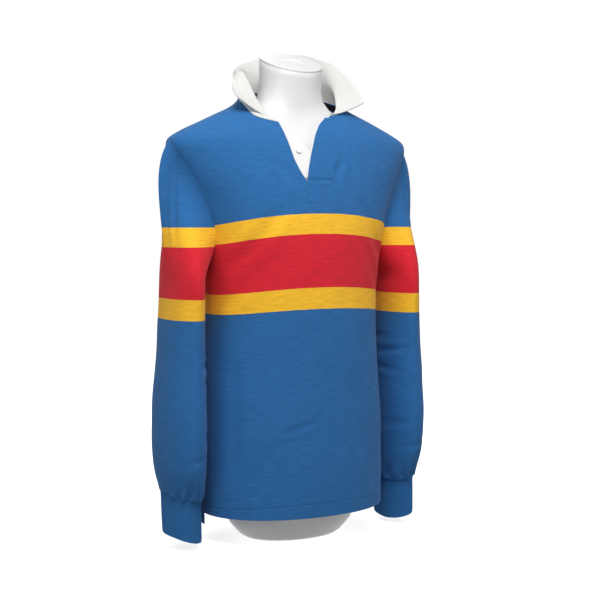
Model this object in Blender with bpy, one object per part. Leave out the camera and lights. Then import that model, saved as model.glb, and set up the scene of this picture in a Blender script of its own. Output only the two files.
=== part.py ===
"""Long-sleeved rugby shirt, filled out on a limbless torso form. Metres, +Z up, the front faces -Y.

The wearer's left is +X. Every cloth piece is a thin closed wall: its outer skin is worked out from
the section tables below, and the inner skin lies one cloth thickness inside it.
"""

import math

import bmesh
import bpy
import numpy as np

# ---- driving sizes -------------------------------------------------------------------------------
CLOTH = 0.0016  # heavy cotton jersey
TWILL = 0.0018  # two layers of collar and placket twill
FACING_CLOTH = 0.0010
COLLAR_SEAM = 0.0010  # between the neckline and the collar's lower edge
GAP = 0.0003  # between a piece and the one it lies on
SEAM = 0.0004  # between the edges of two pieces sewn together
BOXINESS = 2.2  # exponent of the body's rounded sections; 2 would be an ellipse

FRONT_HEM = 0.052
BACK_HEM = 0.032  # the back drops lower than the front
UNDERARM = 0.490
SHOULDER_POINT = 0.700
SLIT_FOOT = 0.612

# Columns of a panel, from centre front or back, 0, to the side, 1. The first six meet the neckline.
COLUMNS = np.array([0.0, 0.075, 0.150, 0.225, 0.300, 0.380, 0.500, 0.620, 0.740, 0.870, 1.0])
NECK_COLUMNS = 0.380
LOWER_ROWS = 9  # quads from the hem to the underarm
# Rows from the underarm, 0, to the neckline and shoulder, 1. The slit's foot is on the row at 0.5.
UPPER = np.array([0.0, 0.1, 0.2, 0.3, 0.4, 0.5, 0.6, 0.7, 0.8, 0.9, 0.96, 1.0])
SLIT_ROW = 0.5
CAP_ROWS = 4  # quads of a sleeve above its first section
COLLAR_STEPS = 6  # quads across the collar
FORM_SIDES = 32

# The shirt's body in level sections: height, half width, and reach to the front and to the back.
BODY = np.array([
    # height  half    front   back
    (0.010, 0.1700, 0.1260, 0.1180),
    (0.130, 0.1710, 0.1280, 0.1190),
    (0.210, 0.1690, 0.1260, 0.1150),
    (0.300, 0.1630, 0.1240, 0.1070),
    (0.400, 0.1580, 0.1230, 0.1010),
    (0.490, 0.1650, 0.1220, 0.1060),
    (0.550, 0.1780, 0.1190, 0.1130),
    (0.600, 0.1960, 0.1110, 0.1170),
    (0.640, 0.2140, 0.1010, 0.1160),
    (0.670, 0.2270, 0.0910, 0.1110),
    (0.690, 0.2320, 0.0840, 0.1040),
    (0.700, 0.2290, 0.0800, 0.1000),
    (0.715, 0.2060, 0.0730, 0.0930),
    (0.730, 0.1740, 0.0640, 0.0870),
    (0.745, 0.1400, 0.0550, 0.0840),
    (0.757, 0.1140, 0.0460, 0.0830),
    (0.767, 0.0985, 0.0400, 0.0835),
    (0.780, 0.0890, 0.0370, 0.0840),
    (0.800, 0.0850, 0.0370, 0.0850),
])

# Armhole edge: height, and the angle round the body from centre front, or from centre back.
ARMHOLE = np.array([
    # height  angle
    (0.490, 90.0),
    (0.503, 80.0),
    (0.525, 72.5),
    (0.560, 69.0),
    (0.600, 68.5),
    (0.635, 70.0),
    (0.665, 74.0),
    (0.688, 81.0),
    (0.700, 90.0),
])

# Neckline: angle from centre front or back, and height, from the middle to the shoulder.
FRONT_NECK_RIGHT = np.array([
    # angle  height
    (22.0, 0.7285),
    (34.0, 0.7380),
    (50.0, 0.7505),
    (70.0, 0.7610),
    (90.0, 0.7670),
])
FRONT_NECK_LEFT = np.array([
    # angle  height
    (22.0, 0.7430),
    (34.0, 0.7490),
    (50.0, 0.7570),
    (70.0, 0.7635),
    (90.0, 0.7670),
])
BACK_NECK = np.array([
    # angle  height
    (0.0, 0.7910),
    (25.0, 0.7900),
    (47.0, 0.7860),
    (68.0, 0.7780),
    (90.0, 0.7670),
])

# The placket's slit: height, then the distance from centre front of the edge on each side.
SLIT = np.array([
    # height  right   left
    (0.612, 0.0000, 0.0000),
    (0.627, 0.0220, 0.0200),
    (0.645, 0.0330, 0.0260),
    (0.664, 0.0400, 0.0310),
    (0.690, 0.0460, 0.0370),
    (0.720, 0.0530, 0.0430),
    (0.743, 0.0590, 0.0500),
])

# A sleeve's level sections: height, middle, and half sizes across and front to back.
SLEEVE = np.array([
    # height  middle_x forward half_x  half_y
    (0.450, 0.2140, 0.0100, 0.0290, 0.0720),
    (0.390, 0.2150, 0.0090, 0.0310, 0.0710),
    (0.330, 0.2160, 0.0080, 0.0340, 0.0710),
    (0.275, 0.2180, 0.0070, 0.0370, 0.0750),
    (0.220, 0.2190, 0.0060, 0.0390, 0.0780),
    (0.165, 0.2190, 0.0050, 0.0395, 0.0760),
    (0.130, 0.2180, 0.0050, 0.0385, 0.0700),
    (0.105, 0.2170, 0.0050, 0.0360, 0.0600),
    (0.090, 0.2165, 0.0050, 0.0335, 0.0530),
])
CUFF = np.array([
    # height  middle_x forward half_x  half_y
    (0.0896, 0.2165, 0.0050, 0.0330, 0.0520),
    (0.080, 0.2165, 0.0050, 0.0325, 0.0500),
    (0.055, 0.2165, 0.0060, 0.0325, 0.0490),
    (0.0185, 0.2165, 0.0080, 0.0320, 0.0480),
])
CUFF_TILT_OUT = 0.0080  # the cuff's outer side hangs higher than its inner side
CUFF_TILT_FRONT = 0.0030  # and its front side lower than its back

# The collar round the neck, from its right end to its left end. The stand rises from the neckline
# to the roll, and the fall goes on from the roll to the free edge, lower in its middle by the sag.
# Forward is towards the front.
COLLAR = np.array([
    # share  roll_x   roll_fwd roll_up edge_x   edge_fwd edge_up sag
    (0.000, -0.0590, 0.0510, 0.7405, -0.1250, 0.0450, 0.7690, 0.0120),
    (0.050, -0.0650, 0.0410, 0.7560, -0.1270, 0.0360, 0.7770, 0.0080),
    (0.100, -0.0735, 0.0200, 0.7890, -0.1230, 0.0200, 0.7870, 0.0020),
    (0.160, -0.0775, 0.0030, 0.8110, -0.1130, 0.0030, 0.8010, -0.0030),
    (0.210, -0.0810, -0.0120, 0.8260, -0.1030, -0.0170, 0.8100, -0.0040),
    (0.260, -0.0820, -0.0330, 0.8290, -0.0925, -0.0370, 0.8160, -0.0040),
    (0.340, -0.0660, -0.0640, 0.8330, -0.0690, -0.0785, 0.8290, -0.0020),
    (0.420, -0.0410, -0.0880, 0.8300, -0.0450, -0.0990, 0.8440, 0.0000),
    (0.500, 0.0000, -0.0960, 0.8280, 0.0000, -0.1050, 0.8580, 0.0000),
    (0.580, 0.0400, -0.0890, 0.8280, 0.0450, -0.0980, 0.8640, 0.0000),
    (0.660, 0.0660, -0.0680, 0.8280, 0.0720, -0.0760, 0.8630, 0.0000),
    (0.740, 0.0790, -0.0330, 0.8230, 0.0920, -0.0390, 0.8500, 0.0000),
    (0.800, 0.0780, -0.0120, 0.8120, 0.1020, -0.0180, 0.8400, 0.0000),
    (0.850, 0.0770, 0.0030, 0.7970, 0.1130, 0.0050, 0.8180, 0.0000),
    (0.905, 0.0720, 0.0200, 0.7760, 0.1230, 0.0230, 0.7930, 0.0020),
    (0.955, 0.0650, 0.0380, 0.7580, 0.1270, 0.0370, 0.7780, 0.0050),
    (1.000, 0.0580, 0.0500, 0.7490, 0.1250, 0.0450, 0.7690, 0.0080),
])

# Placket strips: height, sewn edge and free edge, as x.
OVERLAP = np.array([
    # height  sewn     free
    (0.591, 0.0250, -0.0250),
    (0.625, 0.0250, -0.0225),
    (0.644, 0.0300, -0.0175),
    (0.664, 0.0350, -0.0105),
    (0.685, 0.0400, -0.0020),
    (0.716, 0.0465, 0.0140),
    (0.728, 0.0490, 0.0240),
    (0.739, 0.0530, 0.0380),
])
UNDER_GAP = 0.0012  # the faceted panel's inner side sags a little between its points
UNDERLAP = np.array([
    # height  sewn     free
    (0.598, -0.0260, 0.0160),
    (0.640, -0.0350, 0.0120),
    (0.665, -0.0450, 0.0030),
    (0.681, -0.0500, -0.0080),
    (0.693, -0.0515, -0.0170),
    (0.704, -0.0540, -0.0290),
    (0.714, -0.0560, -0.0370),
])
FACING_FOOT = 0.634
FACING_TOP = 0.738
FACING_SHOWS = 0.0028  # how far the white facing stands out past the overlap's free edge
FACING_HIDDEN = 0.0100
STRIP_ROWS = 12
TAPE_CLOTH = 0.0010
TAPE_GAP = 0.0020

BUTTON_HEIGHT = 0.681
BUTTON_X = -0.0285
BUTTON_RADIUS = 0.0055
BUTTON_THICK = 0.0024
BUTTON_GAP = 0.0005

# The torso form: height, half width, reach to the front and to the back.
FORM = np.array([
    # height  half    front   back
    (0.000, 0.0880, 0.0640, 0.0620),
    (0.005, 0.0960, 0.0700, 0.0680),
    (0.025, 0.1140, 0.0850, 0.0810),
    (0.060, 0.1340, 0.1000, 0.0930),
    (0.130, 0.1560, 0.1160, 0.1060),
    (0.210, 0.1550, 0.1140, 0.1020),
    (0.300, 0.1480, 0.1100, 0.0940),
    (0.400, 0.1450, 0.1090, 0.0890),
    (0.490, 0.1520, 0.1090, 0.0940),
    (0.550, 0.1620, 0.1070, 0.1000),
    (0.600, 0.1760, 0.1000, 0.1040),
    (0.640, 0.1880, 0.0900, 0.1020),
    (0.670, 0.1950, 0.0800, 0.0960),
    (0.690, 0.1930, 0.0720, 0.0880),
    (0.705, 0.1810, 0.0650, 0.0810),
    (0.718, 0.1600, 0.0590, 0.0760),
    (0.732, 0.1280, 0.0540, 0.0710),
    (0.744, 0.0960, 0.0510, 0.0670),
    (0.756, 0.0740, 0.0500, 0.0630),
    (0.770, 0.0610, 0.0510, 0.0590),
    (0.790, 0.0550, 0.0525, 0.0560),
    (0.815, 0.0545, 0.0550, 0.0530),
    (0.838, 0.0555, 0.0580, 0.0510),
])
FORM_BOXINESS = 2.1
CAP_SLANT = math.radians(21.0)  # the neck is cut off lower at the front
CAP_SLANT_FROM = 0.756  # the slant fades in above this height
CAP_THICK = 0.0040
CAP_RECESS = 0.0016
CAP_OVAL = (0.42, 0.30)  # the oval recess, as shares of the cap's half sizes

BLUE = (0.022, 0.130, 0.360)
WHITE = (0.850, 0.850, 0.830)
NAVY = (0.006, 0.008, 0.020)
FORM_WHITE = (0.800, 0.800, 0.800)


# ---- small tools ---------------------------------------------------------------------------------
def smooth(table, at, column):
    """Reads a table's column at the places given, on a smooth curve through its rows."""
    places = table[:, 0]
    values = table[:, column]
    slopes = np.gradient(values, places)
    at = np.clip(np.asarray(at, float), places.min(), places.max())
    row = np.clip(np.searchsorted(places, at, side="right") - 1, 0, len(places) - 2)
    span = places[row + 1] - places[row]
    s = (at - places[row]) / span
    start = values[row] * (1 + 2 * s) * (1 - s) ** 2 + values[row + 1] * s * s * (3 - 2 * s)
    return start + span * (slopes[row] * s * (1 - s) ** 2 - slopes[row + 1] * s * s * (1 - s))


def section(table, angle, height, boxiness):
    """A point of a body's level section. Angle 0 is the front, 90 the wearer's left, 180 the back."""
    angle = np.radians(np.asarray(angle, float))
    half = smooth(table, height, 1)
    ahead = np.cos(angle)
    reach = np.where(ahead >= 0, smooth(table, height, 2), smooth(table, height, 3))
    power = 2 / boxiness
    x = half * np.sign(np.sin(angle)) * np.abs(np.sin(angle)) ** power
    y = -reach * np.sign(ahead) * np.abs(ahead) ** power
    return np.stack([x, y, np.broadcast_to(height, x.shape)], axis=-1)


def unit(vectors):
    return vectors / np.maximum(np.linalg.norm(vectors, axis=-1, keepdims=True), 1e-12)


def body_skin(angle, height):
    """Points of the shirt's outer skin and the outward normals there."""
    angle = np.asarray(angle, float)
    height = np.asarray(height, float)
    turn, rise = 1.0, 0.0015
    along = section(BODY, angle + turn, height, BOXINESS) - section(BODY, angle - turn, height, BOXINESS)
    up = section(BODY, angle, height + rise, BOXINESS) - section(BODY, angle, height - rise, BOXINESS)
    return section(BODY, angle, height, BOXINESS), unit(np.cross(along, up))


def angle_of(x, height):
    """The angle from centre front at which the body is this far across."""
    share = np.clip(np.abs(x) / smooth(BODY, height, 1), 0, 1)
    return np.sign(x) * np.degrees(np.arcsin(share ** (BOXINESS / 2)))


def grid_normals(points, round_closed):
    """Normals of a grid of points, from its own rows and columns."""
    if round_closed:
        around = np.roll(points, -1, axis=1) - np.roll(points, 1, axis=1)
    else:
        around = np.gradient(points, axis=1)
    down = np.gradient(points, axis=0)
    return unit(np.cross(around, down))


# ---- materials and meshes ------------------------------------------------------------------------
def material(name, colour, roughness):
    made = bpy.data.materials.new(name)
    made.use_nodes = True
    shader = made.node_tree.nodes["Principled BSDF"]
    shader.inputs["Base Color"].default_value = (*colour, 1.0)
    shader.inputs["Roughness"].default_value = roughness
    shader.inputs["Metallic"].default_value = 0.0
    return made


def add_object(name, points, faces, finish):
    mesh = bpy.data.meshes.new(name)
    mesh.from_pydata([tuple(p) for p in points], [], faces)
    mesh.validate()
    mesh.materials.append(finish)
    mesh.shade_smooth()
    mesh.set_sharp_from_angle(angle=math.radians(40))
    made = bpy.data.objects.new(name, mesh)
    bpy.context.scene.collection.objects.link(made)
    return made


def patch_faces(rows, columns, first, round_closed):
    """Quads of a grid whose points are numbered row by row from first."""
    faces = []
    for r in range(rows - 1):
        for c in range(columns if round_closed else columns - 1):
            d = (c + 1) % columns
            low, high = first + r * columns, first + (r + 1) * columns
            faces.append((low + c, low + d, high + d, high + c))
    return faces


def turned_over(face):
    """The face with its other side out, starting at the same corner so that it splits the same way."""
    return (face[0],) + face[:0:-1]


def wall(name, patches, thick, finish, round_closed=False):
    """A closed wall of cloth. Each patch is a grid of outer points and their outward normals.

    Patches that share an edge are sewn into one, so that a panel may have a slit between two."""
    points, normals, faces = [], [], []
    for grid, out in patches:
        rows, columns = grid.shape[:2]
        quads = patch_faces(rows, columns, len(points), round_closed)
        points += list(grid.reshape(-1, 3))
        normals += list(out.reshape(-1, 3))
        a, b, _, d = (np.array(points[i]) for i in quads[len(quads) // 2])
        if np.dot(np.cross(b - a, d - a), normals[quads[len(quads) // 2][0]]) < 0:
            quads = [turned_over(quad) for quad in quads]
        faces += quads
    _, first, index = np.unique(
        np.round(np.array(points), 6), axis=0, return_index=True, return_inverse=True
    )
    index = index.reshape(-1)
    outer = np.array(points)[first]
    inner = outer - thick * np.array(normals)[first]
    skin = []
    for quad in faces:
        corners = list(dict.fromkeys(int(index[i]) for i in quad))
        if len(corners) > 2:
            skin.append(tuple(corners))
    edges = {}
    for face in skin:
        for a, b in zip(face, face[1:] + face[:1]):
            edges[(a, b)] = True
    count = len(outer)
    rim = [(b, a, a + count, b + count) for a, b in edges if (b, a) not in edges]
    inside = [tuple(i + count for i in turned_over(face)) for face in skin]
    return add_object(name, np.concatenate([outer, inner]), skin + inside + rim, finish)


# ---- the shirt's body ----------------------------------------------------------------------------
def armhole(share):
    """Angle and height along the armhole, from the underarm, 0, to the shoulder point, 1."""
    places = np.linspace(0, 1, len(ARMHOLE))
    table = np.column_stack([places, ARMHOLE])
    return smooth(table, share, 2), smooth(table, share, 1)


def top_edge(neck, columns):
    """Angle and height along a panel's top: the neckline, and then the shoulder seam."""
    t = np.asarray(columns)
    along_neck = np.clip(t / NECK_COLUMNS, 0, 1)
    table = np.column_stack([np.linspace(0, 1, len(neck)), neck])
    down = np.clip((t - NECK_COLUMNS) / (1 - NECK_COLUMNS), 0, 1)
    angle = np.where(t < NECK_COLUMNS, smooth(table, along_neck, 1), 90.0)
    shoulder = neck[-1, 1] + (SHOULDER_POINT - neck[-1, 1]) * down
    height = np.where(t < NECK_COLUMNS, smooth(table, along_neck, 2), shoulder)
    return angle, height


def fill_between(bottom, top, left, right, columns, rows):
    """A grid between four edges that meet at their ends (a Coons patch)."""
    t = columns[None, :]
    w = rows[:, None]
    across = (1 - w) * bottom[None, :] + w * top[None, :]
    upward = (1 - t) * left[:, None] + t * right[:, None]
    corners = (
        (1 - t) * (1 - w) * bottom[0] + t * (1 - w) * bottom[-1]
        + (1 - t) * w * top[0] + t * w * top[-1]
    )
    return across + upward - corners


def panel_half(hem, neck, middle_angle, middle_height, side, from_back):
    """One half of the front or the back, as two stacked patches of outer points and normals."""
    columns = COLUMNS
    rows = UPPER
    heights = np.linspace(hem, UNDERARM, LOWER_ROWS + 1)
    low_angle, low_height = np.meshgrid(90 * columns, heights)
    top_angle, top_height = top_edge(neck, columns)
    arm_angle, arm_height = armhole(rows)
    high_angle = fill_between(90 * columns, top_angle, middle_angle, arm_angle, columns, rows)
    level = np.full(len(columns), UNDERARM)
    high_height = fill_between(level, top_height, middle_height, arm_height, columns, rows)
    patches = []
    for angle, height in ((low_angle, low_height), (high_angle, high_height)):
        turned = 180 - angle if from_back else angle
        points, normals = body_skin(side * turned, height)
        points[..., 1] += SEAM / 2 if from_back else -SEAM / 2
        points[..., 0] = np.where(np.abs(points[..., 0]) < 1e-7, 0.0, points[..., 0])
        patches.append((points, normals))
    return patches


def slit_edge(rows, column, top):
    """Angle and height up the middle of the front: centre front, then one edge of the slit."""
    above = np.clip((rows - SLIT_ROW) / (1 - SLIT_ROW), 0, 1)
    height = np.where(
        rows < SLIT_ROW,
        UNDERARM + (SLIT_FOOT - UNDERARM) * rows / SLIT_ROW,
        SLIT_FOOT + (top - SLIT_FOOT) * above,
    )
    x = np.interp(height, SLIT[:, 0], SLIT[:, column])
    return angle_of(x, height), height


def front_half(side):
    neck = (FRONT_NECK_RIGHT if side < 0 else FRONT_NECK_LEFT).copy()
    angle, height = slit_edge(UPPER, 1 if side < 0 else 2, neck[0, 1])
    neck[0, 0] = angle[-1]
    return panel_half(FRONT_HEM, neck, angle, height, side, False)


def back_half(side):
    height = UNDERARM + (BACK_NECK[0, 1] - UNDERARM) * UPPER
    return panel_half(BACK_HEM, BACK_NECK, np.zeros_like(UPPER), height, side, True)


def front(finish):
    return wall("front", front_half(-1) + front_half(1), CLOTH, finish)


def back(finish):
    return wall("back", back_half(-1) + back_half(1), CLOTH, finish)


def neck_patches(side):
    """The top two rows of the front and of the back, up to the shoulder, with their normals.

    Where front and back meet at the shoulder, the two points there are made one."""
    count = int(np.sum(COLUMNS <= NECK_COLUMNS))
    ahead, behind = (
        [values[-2:, :count].copy() for values in half(side)[1]] for half in (front_half, back_half)
    )
    for one, other in zip(ahead, behind):
        one[:, -1] = other[:, -1] = (one[:, -1] + other[:, -1]) / 2
    return ahead, behind


def neckline():
    """The panels' own points round the neck, from the right front end to the left."""
    (right, _), (right_back, _) = neck_patches(-1)
    (left, _), (left_back, _) = neck_patches(1)
    return np.concatenate(
        [right[-1], right_back[-1, -2::-1], left_back[-1, 1:], left[-1, -2::-1]]
    )


def halved(values):
    """Puts a point midway between each two."""
    more = np.repeat(values, 2, axis=0)[:-1]
    more[1::2] = (values[:-1] + values[1:]) / 2
    return more


# ---- sleeves and cuffs ---------------------------------------------------------------------------
def ring_angles():
    """Round a sleeve: 0 on its outer side, 90 at the front, 180 at the underarm, 270 at the back."""
    front_side = 180 * (1 - UPPER[::-1])
    return np.concatenate([front_side, 360 - front_side[-2:0:-1]])


def armhole_ring(side):
    turn = ring_angles()
    share = np.abs(180 - turn) / 180
    angle, height = armhole(share)
    at_back = turn > 180
    points, normals = body_skin(side * np.where(at_back, 180 - angle, angle), height)
    points[:, 1] += np.where(at_back, SEAM / 2, np.where((turn > 0) & (turn < 180), -SEAM / 2, 0))
    return points, normals


def tube_ring(row, side, tilt):
    height, middle, forward, half_x, half_y = row
    turn = np.radians(ring_angles())
    out, ahead = np.cos(turn), np.sin(turn)
    z = height + tilt * (CUFF_TILT_OUT * out - CUFF_TILT_FRONT * ahead)
    return np.column_stack([side * (middle + half_x * out), -(forward + half_y * ahead), z])


def sleeve_rings(side):
    """Rings of the sleeve's outer skin, from the armhole seam down to the cuff seam."""
    seam, seam_normals = armhole_ring(side)
    tilts = np.clip((0.20 - SLEEVE[:, 0]) / 0.11, 0, 1)
    sections = [tube_ring(row, side, tilt) for row, tilt in zip(SLEEVE, tilts)]
    reach = np.linalg.norm(sections[0] - seam, axis=1, keepdims=True)
    leave = unit(np.array([side * 0.62, 0.0, -0.78]))
    leave = unit(leave - seam_normals * (seam_normals @ leave)[:, None])
    seam = seam + SEAM * leave
    first_hold = seam + leave * 0.28 * reach
    last_hold = sections[0] + np.array([0, 0, 0.42]) * reach
    rings = [seam]
    for step in range(1, CAP_ROWS):
        s = step / CAP_ROWS
        rings.append(
            (1 - s) ** 3 * seam + 3 * s * (1 - s) ** 2 * first_hold
            + 3 * s * s * (1 - s) * last_hold + s**3 * sections[0]
        )
    rings = np.array(rings + sections)
    normals = grid_normals(rings, True) * side
    middle = rings.mean(axis=1, keepdims=True)
    flip = np.sign((normals * (rings - middle)).sum(axis=(1, 2), keepdims=True))
    normals = normals * flip
    normals[0] = seam_normals
    return rings, normals


def sleeve(name, side, finish):
    return wall(name, [sleeve_rings(side)], CLOTH, finish, True)


def cuff(name, side, finish):
    rings = np.array([tube_ring(row, side, 1.0) for row in CUFF])
    normals = grid_normals(rings, True)
    middle = rings.mean(axis=1, keepdims=True)
    normals = normals * np.sign((normals * (rings - middle)).sum(axis=(1, 2), keepdims=True))
    return wall(name, [(rings, normals)], CLOTH * 1.5, finish, True)


# ---- collar, tape and placket --------------------------------------------------------------------
def collar(finish):
    seam = halved(neckline())
    steps = np.linalg.norm(np.diff(seam, axis=0), axis=1)
    share = np.concatenate([[0.0], np.cumsum(steps)]) / steps.sum()
    out = unit(seam * np.array([1.0, 1.0, 0.0]))
    roll_x, roll_fwd, roll_up, edge_x, edge_fwd, edge_up, sag = (
        smooth(COLLAR, share, c) for c in range(1, 8)
    )
    seam = seam + np.array([0.0, 0.0, COLLAR_SEAM])
    roll = np.column_stack([roll_x, -roll_fwd, roll_up])
    edge = np.column_stack([edge_x, -edge_fwd, edge_up])
    below_roll = seam + 0.90 * (roll - seam)
    past_roll = roll + 0.15 * (edge - roll)
    rows = []
    for s in np.linspace(0, 1, COLLAR_STEPS + 1):
        row = (
            (1 - s) ** 3 * seam + 3 * s * (1 - s) ** 2 * below_roll
            + 3 * s * s * (1 - s) * past_roll + s**3 * edge
        )
        row[:, 2] -= sag * 4 * s * s * (1 - s)
        rows.append(row)
    grid = np.array(rows)
    normals = grid_normals(grid, False)
    if (normals[:2] * out[None]).sum() < 0:
        normals = -normals
    return wall("collar", [(grid, normals)], TWILL, finish)


def neck_tape(finish):
    """The tape inside the neckline seam: the panels' top two rows of points, moved in."""
    patches = [
        (points - out * (CLOTH + TAPE_GAP), out) for side in (-1, 1) for points, out in neck_patches(side)
    ]
    return wall("neck_tape", patches, TAPE_CLOTH, finish)


def strip(name, heights, sewn, free, lift, thick, finish):
    """A placket strip on the front's skin, moved out by lift, from its sewn edge to its free edge."""
    across = np.linspace(0, 1, 5)
    x = sewn[:, None] + (free - sewn)[:, None] * across[None, :]
    z = np.repeat(heights[:, None], len(across), axis=1)
    points, normals = body_skin(angle_of(x, z), z)
    points[..., 1] -= SEAM / 2
    return wall(name, [(points + normals * lift, normals)], thick, finish)


def button(finish):
    height = np.array(BUTTON_HEIGHT)
    point, normal = body_skin(angle_of(BUTTON_X, height), height)
    point = point + np.array([0, -SEAM / 2, 0])
    centre = point - normal * (CLOTH + UNDER_GAP - BUTTON_GAP)
    side = unit(np.cross(normal, np.array([0.0, 0.0, 1.0])))
    upward = np.cross(side, normal)
    profile = (
        # radius share, height share
        (0.90, 0.00),
        (1.00, 0.30),
        (0.96, 0.85),
        (0.80, 1.00),
        (0.66, 0.80),
    )
    sides = 20
    points = []
    for radius, rise in profile:
        for k in range(sides):
            turn = 2 * math.pi * k / sides
            spoke = side * math.cos(turn) + upward * math.sin(turn)
            points.append(centre + spoke * BUTTON_RADIUS * radius + normal * BUTTON_THICK * rise)
    faces = patch_faces(len(profile), sides, 0, True)
    faces.append(tuple(range(sides))[::-1])
    faces.append(tuple(range((len(profile) - 1) * sides, len(profile) * sides)))
    made = add_object("button", points, faces, finish)
    turn_out(made)
    return made


# ---- the torso form ------------------------------------------------------------------------------
def turn_out(made):
    """Makes a closed mesh face outwards."""
    work = bmesh.new()
    work.from_mesh(made.data)
    bmesh.ops.recalc_face_normals(work, faces=work.faces)
    work.to_mesh(made.data)
    work.free()


def slanted(points, height):
    """Tilts a level ring of the neck, by more the higher it is."""
    fade = np.clip((height - CAP_SLANT_FROM) / (FORM[-1, 0] - CAP_SLANT_FROM), 0, 1)
    points[..., 2] += math.tan(CAP_SLANT) * fade**1.5 * points[..., 1]
    return points


def form(finish):
    turns = np.arange(FORM_SIDES) * 360.0 / FORM_SIDES
    rings = [slanted(section(FORM, turns, row[0], FORM_BOXINESS), row[0]) for row in FORM]
    faces = patch_faces(len(rings), FORM_SIDES, 0, True)
    faces.append(tuple(range(FORM_SIDES))[::-1])
    last = (len(rings) - 1) * FORM_SIDES
    faces.append(tuple(range(last, last + FORM_SIDES)))
    made = add_object("form", np.concatenate(rings), faces, finish)
    turn_out(made)
    return made


def neck_cap(finish):
    """The plate that closes the neck, with an oval recess in it."""
    turns = np.arange(FORM_SIDES) * 360.0 / FORM_SIDES
    top = FORM[-1, 0]
    rim = section(FORM, turns, top, FORM_BOXINESS) - np.array([0, 0, top])
    centre = np.array([0.0, rim[:, 1].mean(), 0.0])
    rim = rim - centre
    oval = np.array([CAP_OVAL[0], CAP_OVAL[1], 0.0])
    steps = (
        # size, height above the form
        (rim * 0.985, GAP),
        (rim, GAP + 0.0008),
        (rim, CAP_THICK - 0.0008),
        (rim * 0.975, CAP_THICK),
        (rim * oval * 1.06, CAP_THICK),
        (rim * oval, CAP_THICK - CAP_RECESS),
    )
    rings = []
    for ring, rise in steps:
        points = ring + centre
        points[:, 2] = top + rise + math.tan(CAP_SLANT) * points[:, 1]
        rings.append(points)
    faces = patch_faces(len(rings), FORM_SIDES, 0, True)
    faces.append(tuple(range(FORM_SIDES))[::-1])
    last = (len(rings) - 1) * FORM_SIDES
    faces.append(tuple(range(last, last + FORM_SIDES)))
    made = add_object("neck_cap", np.concatenate(rings), faces, finish)
    turn_out(made)
    return made


def placket(jersey, twill):
    heights = np.linspace(OVERLAP[0, 0], OVERLAP[-1, 0], STRIP_ROWS + 1)
    sewn, free = smooth(OVERLAP, heights, 1), smooth(OVERLAP, heights, 2)
    strip("placket_overlap", heights, sewn, free, CLOTH + GAP, CLOTH, jersey)
    heights = np.linspace(FACING_FOOT, FACING_TOP, STRIP_ROWS + 1)
    free = smooth(OVERLAP, heights, 2)
    strip(
        "placket_facing", heights, free + FACING_HIDDEN, free - FACING_SHOWS, 0.0, FACING_CLOTH, twill
    )
    heights = np.linspace(UNDERLAP[0, 0], UNDERLAP[-1, 0], STRIP_ROWS + 1)
    sewn, free = smooth(UNDERLAP, heights, 1), smooth(UNDERLAP, heights, 2)
    strip("placket_underlap", heights, sewn, free, -CLOTH - UNDER_GAP, CLOTH, twill)


def main():
    for old in list(bpy.data.objects):
        bpy.data.objects.remove(old, do_unlink=True)
    jersey = material("blue_jersey", BLUE, 0.9)
    twill = material("white_twill", WHITE, 0.85)
    tape = material("navy_tape", NAVY, 0.9)
    gloss = material("form_gloss", FORM_WHITE, 0.25)
    pearl = material("button_white", WHITE, 0.4)
    form(gloss)
    neck_cap(gloss)
    front(jersey)
    back(jersey)
    sleeve("sleeve_right", -1, jersey)
    sleeve("sleeve_left", 1, jersey)
    cuff("cuff_right", -1, jersey)
    cuff("cuff_left", 1, jersey)
    collar(twill)
    neck_tape(tape)
    placket(jersey, twill)
    button(pearl)


main()
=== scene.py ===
"""Looks of the rugby shirt on its torso form.

Fine cloth shells on the same sections as the CAD model, their materials, lights and camera.
"""

import math

import bpy
import numpy as np
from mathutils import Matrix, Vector


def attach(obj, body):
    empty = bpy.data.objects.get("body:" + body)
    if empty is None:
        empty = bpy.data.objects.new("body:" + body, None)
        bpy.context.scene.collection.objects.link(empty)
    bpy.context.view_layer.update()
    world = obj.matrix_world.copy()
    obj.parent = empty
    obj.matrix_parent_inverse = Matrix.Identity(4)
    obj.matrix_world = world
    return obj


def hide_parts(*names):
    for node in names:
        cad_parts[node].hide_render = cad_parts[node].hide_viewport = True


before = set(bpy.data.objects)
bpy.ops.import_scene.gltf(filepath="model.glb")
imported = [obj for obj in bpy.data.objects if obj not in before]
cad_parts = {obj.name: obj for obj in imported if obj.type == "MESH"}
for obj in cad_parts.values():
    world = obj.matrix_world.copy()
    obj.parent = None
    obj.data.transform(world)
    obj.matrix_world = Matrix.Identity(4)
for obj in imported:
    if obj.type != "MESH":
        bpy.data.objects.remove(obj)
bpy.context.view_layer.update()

# ---- sizes and tables, as in part.py -------------------------------------------------------------
CLOTH = 0.0016
TWILL = 0.0018
FACING_CLOTH = 0.0010
COLLAR_SEAM = 0.0010
GAP = 0.0003
SEAM = 0.0004
BOXINESS = 2.2
FRONT_HEM = 0.052
BACK_HEM = 0.032
UNDERARM = 0.490
SHOULDER_POINT = 0.700
SLIT_FOOT = 0.612
SLIT_ROW = 0.5
NECK_COLUMNS = 0.380

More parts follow.
